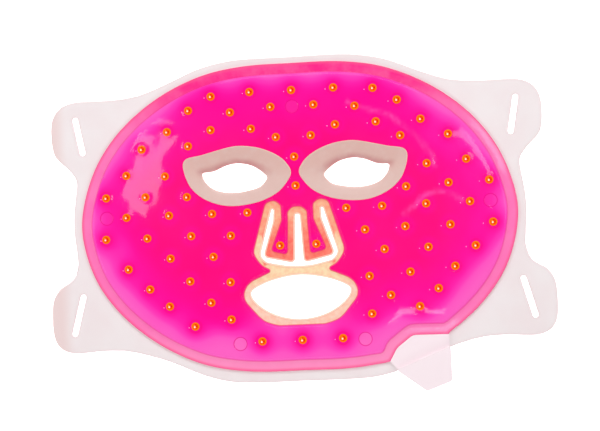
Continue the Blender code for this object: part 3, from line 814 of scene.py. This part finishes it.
def dome_material():
    """The lens over an LED: an orange ring round a hot, uneven middle."""
    s = Shader("lens", Roughness=0.25)
    s.set("Specular IOR Level", 0.05)
    spot = s.vector("spot")
    out = s.add("ShaderNodeVectorMath", {0: spot}, output="Value", operation="LENGTH")

    def near(x, y, start, end):
        away = s.add("ShaderNodeVectorMath", {0: spot, 1: (x, y, 0.0)}, output="Value",
                     operation="DISTANCE")
        return s.span(away, end, start)

    colour = s.ramp(out, [
        (0.0, linear(255, 104, 0)), (0.46, linear(255, 72, 0)), (0.56, linear(214, 44, 0)),
        (0.64, linear(255, 112, 0)), (0.7, linear(255, 128, 0)), (0.88, linear(255, 118, 0)),
        (0.94, linear(236, 72, 0)), (1.0, linear(206, 14, 40)),
    ])
    colour = s.mix(s.math("MULTIPLY", near(0.32, 0.02, 0.08, 0.26), 0.85), colour, linear(206, 10, 0))
    colour = s.mix(s.math("MULTIPLY", near(0.06, 0.38, 0.04, 0.2), 0.7), colour, linear(220, 20, 0))
    colour = s.mix(near(-0.24, 0.26, 0.02, 0.22), colour, linear(255, 180, 60))
    colour = s.mix(near(-0.13, -0.12, 0.08, 0.3), colour, linear(255, 250, 225))
    s.set("Base Color", s.mix(1.0, colour, (0.25, 0.25, 0.25, 1), "MULTIPLY"))
    s.set("Emission Color", colour)
    s.set("Emission Strength", 0.84)
    s.bump(s.noise(1.2), 0.1, 0.05)
    return s.made


def glint_material():
    """The small pale glint beside each LED, a painted reflection of the LED."""
    s = Shader("glint", Roughness=0.2)
    colour = s.mix(s.span(s.noise(0.6), 0.3, 0.7), linear(255, 150, 210), linear(255, 110, 190))
    s.set("Base Color", colour)
    s.set("Emission Color", colour)
    s.set("Emission Strength", 0.45)
    return s.made


def film_material(name, tone, other, size):
    """A thin printed film: two tones in fine lines."""
    s = Shader(name, Roughness=0.35)
    wave = s.add("ShaderNodeTexWave", {"Vector": s.place(), "Scale": 1 / (size * MM),
                                       "Distortion": 1.5, "Detail": 2.0}, output=1)
    colour = s.mix(s.span(wave, 0.42, 0.58), tone, other)
    s.set("Base Color", s.mix(s.span(s.noise(4.0), 0.3, 0.8, 0.0, 0.3), colour, other))
    s.bump(wave, 0.3, 0.03)
    return s.made


def plain_material(name, tone, other, rough, metal=0.0):
    """A moulded or plated finish with fine mottling and grain."""
    s = Shader(name, Roughness=rough, Metallic=metal)
    s.set("Base Color", s.mix(s.span(s.noise(GRAIN, 4.0), 0.3, 0.75), tone, other))
    s.set("Roughness", s.span(s.noise(GRAIN * 3, 3.0), 0.3, 0.7, rough * 0.8, rough * 1.3))
    s.bump(s.noise(GRAIN / 2, 4.0), 0.2, 0.03)
    return s.made


SILICONE = silicone_material("shell_silicone", linear(241, 232, 233), linear(238, 220, 222))
LIT, FLANGE, BORDER = lit_material(), flange_material(), border_material()
RIM = rim_material()
DOME, GLINT = dome_material(), glint_material()


# ---------------------------------------------------------------- shell

def add_shell():
    """The white outer moulding, with rounded edges."""
    edge = toward_boot(SHELL_EDGE, SKIN_TOP, reach=0.6, overlap=0.7)
    free = outline_tree([edge, *SHELL_HOLES])
    rows = offsets(edge, (0.08, 0.3, 0.8), free)
    for hole in SHELL_HOLES:
        rows += offsets(hole, (-0.08, -0.3, -0.8), free)
    areas = [("outer", edge), *(("hole", hole) for hole in SHELL_HOLES)]
    flat, cells, inside = sheet(areas, rows)
    wanted = [piece_of(names) if "outer" in names and "hole" not in names else None for names in inside]
    gone = distances(free, flat)
    rise = quarter(gone, SHELL_ROUND)
    top = SHELL_TOP / 2 + SHELL_TOP / 2 * rise
    bottom = SHELL_TOP / 2 - SHELL_TOP / 2 * rise
    values = {"edge": gone}
    return sheet_pieces("shell", flat, cells, wanted, [0] * len(cells), top, bottom, [SILICONE], values)


# ---------------------------------------------------------------- skin

def led_rings(radii):
    """Rows of points round every LED."""
    rows = []
    for radius in radii:
        count = max(8, round(2 * math.pi * radius / 1.1))
        turns = np.arange(count) * 2 * math.pi / count
        ring = np.stack([np.cos(turns), np.sin(turns)], axis=1) * radius
        rows += [np.array(place) + ring for place in [*LEDS, *FLAP_LEDS.values()]]
    return rows


def stud_rings(radii):
    """Rows of points round every locating stud."""
    turns = np.arange(32) * math.pi / 16
    ring = np.stack([np.cos(turns), np.sin(turns)], axis=1)
    return [place + ring * radius for radius in radii for place in STUDS]


def skin_heights(flat, raised, near):
    """The top and the underside of the skin at each point."""
    top = np.where(
        raised,
        FLANGE_TOP + (SKIN_TOP - FLANGE_TOP) * quarter(near["bound"], SHOULDER_ROUND),
        FLANGE_TOP - SKIN_EDGE * (1 - quarter(near["edge"], SKIN_EDGE)),
    )
    top -= np.where(raised, EYE_EDGE * (1 - quarter(near["eye"], EYE_EDGE)), 0)
    lip = eased(near["edge"], 0, 0.3) * (1 - eased(near["edge"], LIP_WIDE * 0.7, LIP_WIDE))
    top += np.where(near["hole"] < LIP_WIDE, LIP_HIGH * lip, 0)
    level = np.where(raised, eased(near["bound"], 1.0, 6.0), 0)
    boss = 1 - eased(near["led"], BOSS_ROUND - 1.1, BOSS_ROUND + 1.1)
    stud = 1 - eased(near["stud"], STUD_ROUND - 0.15, STUD_ROUND + 0.1)
    wave = waves(flat, WAVE_LONG, 3.0) + 0.35 * waves(flat, WAVE_LONG / 2.6, 9.0)
    crease = np.exp(-((near["crease"] / CREASE_WIDE) ** 2))
    top += level * (BOSS_HIGH * boss - STUD_DIP * stud + WAVE_HIGH * wave + CREASE_HIGH * crease)
    inner = np.minimum(near["bound"], near["eye"])
    bottom = SKIN_BASE + (HOLLOW_TOP - SKIN_BASE) * np.where(raised, eased(inner, WALL, WALL + 0.8), 0)
    return top, bottom


def skin_rows():
    """Rows of points that the skin needs, and the outlines that it is measured from."""
    bound = outline_tree([RAISED_EDGE, SURROUND])
    eyes = outline_tree(EYE_RINGS)
    free = outline_tree([WINDOW_EDGE, *NOSE_AND_MOUTH])
    rows = offsets(RAISED_EDGE, SHOULDER_ROWS, bound)
    rows += offsets(SURROUND, [-way for way in SHOULDER_ROWS], bound)
    rows += offsets(WINDOW_EDGE, (0.12, 0.4, 1.0, 2.2), free)
    for hole in NOSE_AND_MOUTH:
        rows += offsets(hole, (-0.12, -0.4, -1.0, -1.4, -2.0), free)
    for ring in EYE_RINGS:
        rows += offsets(ring, (-0.1, -0.3, -0.6, -1.4), eyes)
    rows += led_rings(LED_RINGS)
    rows += stud_rings(STUD_RINGS)
    return [row for row in rows if len(row)], bound, eyes, free


def add_skin():
    """The clear skin: a flange, a raised window, and borders round the nose and the mouth."""
    rows, bound, eyes, free = skin_rows()
    areas = [("outer", WINDOW_EDGE), ("raised", RAISED_EDGE), ("surround", SURROUND)]
    areas += [("hole", hole) for hole in [*NOSE_AND_MOUTH, *EYE_RINGS]]
    flat, cells, inside = sheet(areas, rows)
    wanted, kinds = [], []
    raised = np.zeros(len(flat), bool)
    for cell, names in zip(cells, inside):
        wanted.append(piece_of(names) if "outer" in names and "hole" not in names else None)
        kind = 2 if "surround" in names else 0 if "raised" in names else 1
        kinds.append(kind)
        if kind == 0:
            raised[list(cell)] = True
    leds = tree_of([*LEDS, *FLAP_LEDS.values()])
    near = {
        "bound": distances(bound, flat), "eye": distances(eyes, flat),
        "edge": distances(free, flat), "hole": distances(outline_tree(NOSE_AND_MOUTH), flat),
        "led": distances(leds, flat), "stud": distances(tree_of(STUDS), flat),
        "crease": distances(tree_of(crease_points()), flat),
        "outer": distances(outline_tree([RAISED_EDGE]), flat),
    }
    top, bottom = skin_heights(flat, raised, near)
    values = {
        "glow": glow_at(flat, near["outer"]), "led": near["led"], "stud": near["stud"],
        "edge": near["edge"], "reach": near["bound"], "tongue": tongue_share(flat),
        "inner": near["outer"], "crease": np.exp(-((near["crease"] / CREASE_WIDE) ** 2)),
    }
    looks = [LIT, FLANGE, BORDER]
    pieces = sheet_pieces("skin", flat, cells, wanted, kinds, top, bottom, looks, values)
    return pieces, (tree_of(flat), top)


def crease_points():
    """Close points along every crease."""
    made = []
    for run in CREASES:
        run = np.array(run, float)
        made.append(points_along(run, np.arange(0, lengths_along(run)[-1], DENSE_STEP)))
    return np.vstack(made)


def glow_at(flat, outer):
    """How strongly the LEDs together light each place, with more light far from the window's edge."""
    total = 0.5 * eased(outer, 16, 32)
    for place in [*LEDS, *FLAP_LEDS.values()]:
        away = np.sum((flat - np.array(place)) ** 2, axis=1)
        total += np.exp(-away / (2 * GLOW_REACH**2))
    return np.clip(total / GLOW_FULL, 0, 1)


def tongue_share(flat):
    """1 on the borders of the two nose flaps, fading out at their necks."""
    hinge_y = HINGES["nose_flap_right"][0][1]
    flap = outline_tree([ZONES["tongue_right"], ZONES["tongue_left"]])
    inside = np.zeros(len(flat))
    for hand, _ in SIDES:
        low, high = ZONES[f"tongue_{hand}"].min(axis=0), ZONES[f"tongue_{hand}"].max(axis=0)
        within = np.all((flat > low) & (flat < high), axis=1)
        inside = np.maximum(inside, within * eased(distances(flap, flat), 0.3, 1.2))
    start, end = (hinge_y + way for way in NECK_FADE)
    return inside * eased(flat[:, 1], start, end)


# ---------------------------------------------------------------- lens domes and eye rims

def cap(place, base, radius, high, rows=6, around=24):
    """A low dome on a flat base: its points, faces and places measured in its radius."""
    points, faces, spots = [(*place, base + high)], [], [(0, 0, 0)]
    for j in range(1, rows + 1):
        turn = math.pi / 2 * j / rows
        for k in range(around):
            a = 2 * math.pi * k / around
            x, y = math.cos(a) * math.sin(turn), math.sin(a) * math.sin(turn)
            points.append((place[0] + x * radius, place[1] + y * radius, base + high * math.cos(turn)))
            spots.append((x, y, 0))
    for k in range(around):
        faces.append((0, 1 + k, 1 + (k + 1) % around))
    for j in range(rows - 1):
        for k in range(around):
            a, b = 1 + j * around + k, 1 + j * around + (k + 1) % around
            faces.append((a, a + around, b + around, b))
    last = 1 + (rows - 1) * around
    faces.append(tuple(range(last + around - 1, last - 1, -1)))
    return points, faces, spots


def add_caps(name, places, base_of, radius, high, material, **shape):
    """One mesh of low domes, one at each place."""
    points, faces, spots = [], [], []
    for place in places:
        more_points, more_faces, more_spots = cap(place, base_of(place), radius, high, **shape)
        faces += [tuple(i + len(points) for i in f) for f in more_faces]
        points += more_points
        spots += more_spots
    return add_mesh(name, points, faces, [material], values={"spot": np.array(spots, float)})


def split_loop(ring, count):
    """The loop as even steps from its innermost to its outermost point and back."""
    ring = anticlockwise(ring)
    start = int(np.argmin(np.abs(ring[:, 0])))
    ring = np.roll(ring, -start, axis=0)
    turn = int(np.argmax(np.abs(ring[:, 0])))
    made = []
    for half in (ring[: turn + 1], np.vstack([ring[turn:], ring[:1]])):
        made.append(points_along(half, np.linspace(0, lengths_along(half)[-1], count, endpoint=False)))
    return np.vstack(made)


# Section of an eye rim: the share of the way from the opening out to the ring, and the height.
RIM_SECTION = [
    (0.0, 0.35), (-0.012, 0.9), (-0.012, 2.2), (0.0, 2.8), (0.05, 3.2), (0.14, 3.5), (0.28, 3.9),
    (0.45, 4.35), (0.62, 4.75), (0.78, 5.08), (0.88, 5.3), (0.94, 5.44), (0.975, 5.48), (1.0, 5.42),
    (1.012, 5.28), (1.0, 5.0), (0.88, 4.2), (0.5, 2.6), (0.2, 1.3), (0.06, 0.35),
]
RIM_STEPS = 60


def add_eye_rims():
    """The funnel rims: one section swept from each eye opening out to its ring."""
    made = {}
    for hand, side in SIDES:
        ring = next(r for r in EYE_RINGS if middle_of(r)[0] * side > 0)
        opening = next(r for r in EYE_OPENINGS if middle_of(r)[0] * side > 0)
        outer, inner = split_loop(ring, RIM_STEPS), split_loop(opening, RIM_STEPS)
        count, rows = len(outer), len(RIM_SECTION)
        points, shares, highs = [], [], []
        middle_y = middle_of(opening)[1]
        for share, height in RIM_SECTION:
            row = inner + (outer - inner) * share
            points += [(*p, height) for p in row]
            shares += [share] * count
            # How far up the rim each point lies, which sets the rim's painted shade.
            highs += list(eased(row[:, 1], middle_y - 6, middle_y + 9))
        faces = []
        for j in range(rows):
            below, above = j * count, (j + 1) % rows * count
            for k in range(count):
                n = (k + 1) % count
                faces.append((below + k, below + n, above + n, above + k))
        values = {"share": np.array(shares, float), "high": np.array(highs, float)}
        made[hand] = add_mesh(f"rim_{hand}", points, faces, [RIM], values=values)
    return made


# ---------------------------------------------------------------- put it together

def bend(obj, kind):
    """Bakes a piece's placement into its mesh, the same for every kind."""
    if kind == "wing":
        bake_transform(obj)
    elif kind == "flap":
        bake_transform(obj)
    else:
        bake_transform(obj)


def place_pieces(pieces, standing):
    """Bakes each piece's placement, and hides the frame parts that it stands for."""
    for name, obj in pieces.items():
        hand = name.split("_")[-1]
        kind = "wing" if name == hand else "flap" if name.startswith("flap") else name
        bend(obj, kind)
        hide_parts(*standing[name])


def shell_standing():
    """The frame parts that each piece of the shell stands for."""
    made = {}
    for hand, _ in SIDES:
        made[hand] = ["shell_middle", f"shell_wing_{hand}"]
        made[f"flap_{hand}"] = [f"flap_shell_{hand}"]
        for level in ("upper", "lower"):
            made[f"ear_{level}_{hand}"] = [f"ear_{level}_{hand}"]
    return made


def skin_standing():
    """The frame parts that each piece of the skin stands for."""
    made = {}
    for hand, _ in SIDES:
        made[hand] = ["skin_middle", f"skin_wing_{hand}"]
        made[f"flap_{hand}"] = [f"flap_skin_{hand}"]
    return made


def add_lenses(surface):
    """A lens over each LED, and the small glint beside it: a tiny glowing dome painted as the LED's
    reflection.
    """
    tree, top = surface

    def base_of(place):
        return float(top[tree.find((*place, 0))[1]]) - LENS_SUNK

    for hand, side in SIDES:
        mine = [p for p in LEDS if p[0] * side > 0 or (p[0] == 0 and side > 0)]
        glints = [(p[0] - GLINT_AWAY - GLINT_LEAN * p[0], p[1] - GLINT_DOWN) for p in mine]
        obj = add_caps(f"lenses_{hand}", mine, base_of, DOME_ROUND, DOME_HIGH, DOME)
        small = add_caps(f"glints_{hand}", glints, base_of, GLINT_ROUND, 0.25, GLINT, rows=3, around=10)
        flap = add_caps(f"lens_flap_{hand}", [FLAP_LEDS[hand]], base_of, DOME_ROUND, DOME_HIGH, DOME)
        for each in (obj, small):
            bend(each, "wing")
        bend(flap, "flap")


def dress_frame():
    """Finishes for the frame's own parts, and soft edges on the boot."""
    film = film_material("flex_film", linear(206, 134, 62), linear(176, 98, 36), 2.4)
    mirror = film_material("reflector_film", linear(250, 214, 226), linear(242, 186, 204), 6.0)
    tape = film_material("tape", linear(236, 178, 74), linear(250, 226, 160), 1.6)
    stud = plain_material("stud", linear(250, 214, 224), linear(240, 190, 204), 0.5)
    boot = silicone_material("boot_silicone", linear(255, 241, 246), linear(250, 233, 238))
    steel = plain_material("steel", linear(196, 196, 200), linear(160, 160, 166), 0.25, 1.0)
    contact = plain_material("contact", linear(226, 180, 96), linear(200, 150, 70), 0.28, 1.0)
    plastic = plain_material("socket_plastic", linear(34, 34, 36), linear(24, 24, 26), 0.5)
    board = plain_material("board", linear(22, 92, 48), linear(14, 70, 36), 0.4)
    part = plain_material("component", linear(42, 42, 44), linear(28, 28, 30), 0.55)
    finishes = [
        ("flex_circuit", film), ("reflector", mirror), ("led_strip", tape), ("flap_led", tape),
        ("locating_stud", stud), ("socket_boot", boot), ("socket_can", steel),
        ("socket_contacts", contact), ("socket_tongue", plastic), ("socket_board", board),
        ("driver", part),
    ]
    for name, node in frame["nodes"].items():
        for start, finish in finishes:
            if name.startswith(start):
                node.data.materials.clear()
                node.data.materials.append(finish)
    soften(frame["nodes"]["socket_boot"], 0.55)


def soften(node, wide):
    """Rounds the sharp edges of a frame part."""
    weld = node.modifiers.new("weld", "WELD")
    weld.merge_threshold = 0.01 * MM
    bevel = node.modifiers.new("soft_edges", "BEVEL")
    bevel.width = wide * MM
    bevel.segments = 3
    bevel.limit_method = "ANGLE"
    bevel.angle_limit = math.radians(40)


# ---------------------------------------------------------------- stage, light and camera

FLOOR_HALF = 2600.0
FLOOR_Z = -24.0
CAMERA_PLACE = (73.1, -43.1, 906.6)
CAMERA_TURN = (0.827, 4.557, -2.682)
CAMERA_LENS = 85
SKY = 0.3

# Panel lights: name, place, aim, size, power, turn in degrees. The glare panels are what the glossy
# skin and one eye rim mirror.
PANELS = [
    ("key", (80, 1000, 700), (0, 0, 0), (900, 400), 7.4, 0),
    ("fill_right", (1100, 100, 600), (0, 0, 0), (600, 600), 4.6, 0),
    ("fill_left", (-1100, -100, 600), (0, 0, 0), (600, 600), 4.3, 0),
    ("fill_front", (0, -1100, 500), (0, 0, 0), (900, 400), 4.0, 0),
    ("glare_left", (-264, 56, 900), (-90, 30, 0), (34, 106), 0.3, 83),
    ("glare_right", (180, 70, 900), (110, 50, 0), (52, 76), 0.3, -70),
    ("glare_notch", (83, -153, 900), (83, -153, 0), (80, 18), 0.15, 0),
    ("glare_rim", (-850, 300, 500), (-120, 30, 0), (30, 60), 0.5, 0),
]


def add_floor():
    """A pale floor, clear when seen from beneath, so that the mask's outer face can be looked at."""
    s = Shader("floor", Roughness=0.9)
    beneath = s.add("ShaderNodeNewGeometry", output="Backfacing")
    s.set("Alpha", s.math("SUBTRACT", 1.0, beneath))
    tone = s.mix(s.span(s.noise(300.0), 0.3, 0.7), WHITE, linear(253, 253, 253))
    s.set("Base Color", tone)
    s.set("Emission Color", tone)
    s.set("Emission Strength", 0.75)
    ways = ((-1, -1), (1, -1), (1, 1), (-1, 1))
    corners = [(x * FLOOR_HALF, y * FLOOR_HALF, FLOOR_Z) for x, y in ways]
    add_mesh("floor", corners, [(0, 1, 2, 3)], [s.made])


def add_panel(name, place, aim, size, power, turn):
    """A soft panel light at a place in millimetres, aimed at a point and turned by degrees."""
    data = bpy.data.lights.new(name, "AREA")
    data.shape = "RECTANGLE"
    data.size, data.size_y = size[0] * MM, size[1] * MM
    data.energy = power
    obj = bpy.data.objects.new(name, data)
    bpy.context.scene.collection.objects.link(obj)
    obj.location = Vector(place) * MM
    way = (Vector(aim) - Vector(place)).to_track_quat("-Z", "Y")
    obj.rotation_euler = (way @ Quaternion((0, 0, 1), math.radians(turn))).to_euler()


def add_lights():
    world = bpy.data.worlds.new("studio")
    world.use_nodes = True
    sky = world.node_tree.nodes["Background"].inputs
    sky[0].default_value = WHITE
    sky[1].default_value = SKY
    bpy.context.scene.world = world
    for panel in PANELS:
        add_panel(*panel)


def add_camera():
    data = bpy.data.cameras.new("camera")
    data.lens = CAMERA_LENS
    camera = bpy.data.objects.new("camera", data)
    bpy.context.scene.collection.objects.link(camera)
    camera.location = [place * MM for place in CAMERA_PLACE]
    camera.rotation_euler = [math.radians(angle) for angle in CAMERA_TURN]
    bpy.context.scene.camera = camera


def main():
    place_pieces(add_shell(), shell_standing())
    skin, surface = add_skin()
    place_pieces(skin, skin_standing())
    for hand, rim in add_eye_rims().items():
        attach(rim, "middle")
        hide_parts(f"eye_rim_{hand}")
    add_lenses(surface)
    dress_frame()
    add_floor()
    add_lights()
    add_camera()
    bpy.context.scene.view_settings.view_transform = "Standard"


main()
